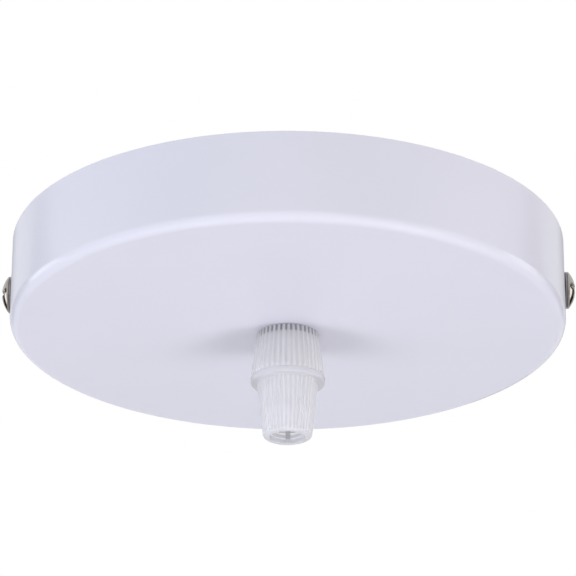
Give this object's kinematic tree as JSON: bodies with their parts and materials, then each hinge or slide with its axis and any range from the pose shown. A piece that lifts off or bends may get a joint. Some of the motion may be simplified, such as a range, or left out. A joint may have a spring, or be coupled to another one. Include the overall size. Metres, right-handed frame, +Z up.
{
  "type": "ceiling canopy",
  "caption": "Round, shallow steel ceiling canopy for a pendant lamp, held by side screws on a strip bracket, with a clear cord grip in its centre.",
  "frame": {"origin": "centre of the ceiling plane, between the two ceiling slots", "axes": "+Z up into the ceiling, X along the two side screws and the bracket"},
  "size_m": [0.1246, 0.12, 0.0433],
  "materials": {
    "powder_coat": "satin white powder coat",
    "zinc_plate": "bright zinc plate",
    "nickel_plate": "bright nickel plate",
    "dark_washer": "blackened steel",
    "spring_steel": "plated spring steel",
    "brass": "plain brass",
    "clear_collar": "clear moulded plastic",
    "clear_clamp": "clear moulded plastic",
    "clear_cap": "clear moulded plastic"
  },
  "bodies": {
    "canopy": {"canopy_cup": "powder_coat", "mounting_bracket": "zinc_plate", "grip_body": "clear_collar", "lock_nut": "zinc_plate", "lock_washer": "spring_steel"},
    "left_washer": {"side_washer_left": "dark_washer"},
    "left_screw": {"side_screw_left": "nickel_plate"},
    "right_washer": {"side_washer_right": "dark_washer"},
    "right_screw": {"side_screw_right": "nickel_plate"},
    "earth_washers": {"earth_lock_washer": "spring_steel", "earth_clamp_washer": "brass"},
    "earth_screw": {"earth_screw": "brass"},
    "clamp_ring": {"grip_clamp": "clear_clamp"},
    "cord_cap": {"grip_cap": "clear_cap"}
  },
  "joints": [
    {"name": "left_travel", "type": "slide", "parent": "canopy", "child": "left_washer", "axis": [-1, 0, 0], "range_m": [0, 0.0049]},
    {"name": "left_turn", "type": "hinge", "parent": "left_washer", "child": "left_screw", "pos_m": [-0.06, 0, -0.00975], "axis": [-1, 0, 0], "range_deg": [0, 2520.1]},
    {"name": "right_travel", "type": "slide", "parent": "canopy", "child": "right_washer", "axis": [1, 0, 0], "range_m": [0, 0.0049]},
    {"name": "right_turn", "type": "hinge", "parent": "right_washer", "child": "right_screw", "pos_m": [0.06, 0, -0.00975], "axis": [1, 0, 0], "range_deg": [0, 2520.1]},
    {"name": "earth_travel", "type": "slide", "parent": "canopy", "child": "earth_washers", "axis": [0, 0, -1], "range_m": [0, 0.00245]},
    {"name": "earth_turn", "type": "hinge", "parent": "earth_washers", "child": "earth_screw", "pos_m": [0.013, 0, -0.0045], "axis": [0, 0, -1], "range_deg": [0, 1260.1]},
    {"name": "cap_travel", "type": "slide", "parent": "canopy", "child": "clamp_ring", "axis": [0, 0, -1], "range_m": [0, 0.007]},
    {"name": "cap_turn", "type": "hinge", "parent": "clamp_ring", "child": "cord_cap", "pos_m": [0, 0, -0.0363], "axis": [0, 0, -1], "range_deg": [0, 2520.1]}
  ],
  "couplings": [
    {"joint": "left_turn", "follows": "left_travel", "rad_per_m": 8976},
    {"joint": "right_turn", "follows": "right_travel", "rad_per_m": 8976},
    {"joint": "earth_turn", "follows": "earth_travel", "rad_per_m": 8976},
    {"joint": "cap_turn", "follows": "cap_travel", "rad_per_m": 6283.2}
  ]
}
